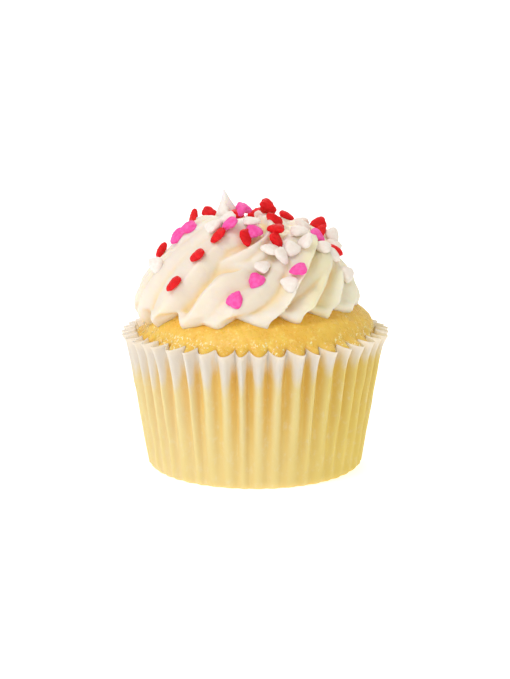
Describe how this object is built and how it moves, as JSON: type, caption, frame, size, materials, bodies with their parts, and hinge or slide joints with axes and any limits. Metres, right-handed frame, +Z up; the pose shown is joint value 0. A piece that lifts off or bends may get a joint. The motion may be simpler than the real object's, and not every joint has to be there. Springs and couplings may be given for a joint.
{
  "type": "frosted cupcake in paper case",
  "caption": "Domed vanilla cupcake in a pleated paper case, with a piped swirl of buttercream, a small peak and heart-shaped sugar sprinkles.",
  "frame": {"origin": "centre of the paper case's flat underside, where the cupcake stands", "axes": "+Z up through the middle of the sponge, -Y towards the front, +X to the right as seen from the front; the swirl's peak leans to -X"},
  "size_m": [0.0652, 0.0653, 0.0673],
  "materials": {
    "paper_case": "thin greaseproof paper, white at the rim and golden where the sponge shows through",
    "cake": "moist golden sponge with a slightly glossy, finely pored top",
    "frosting": "soft ivory buttercream with a satin sheen",
    "sprinkle_red": "pressed sugar, matt",
    "sprinkle_pink": "pressed sugar, matt",
    "sprinkle_white": "pressed sugar, matt"
  },
  "bodies": {
    "root": {"paper_case": "paper_case", "cake": "cake", "frosting": "frosting"}
  },
  "joints": []
}
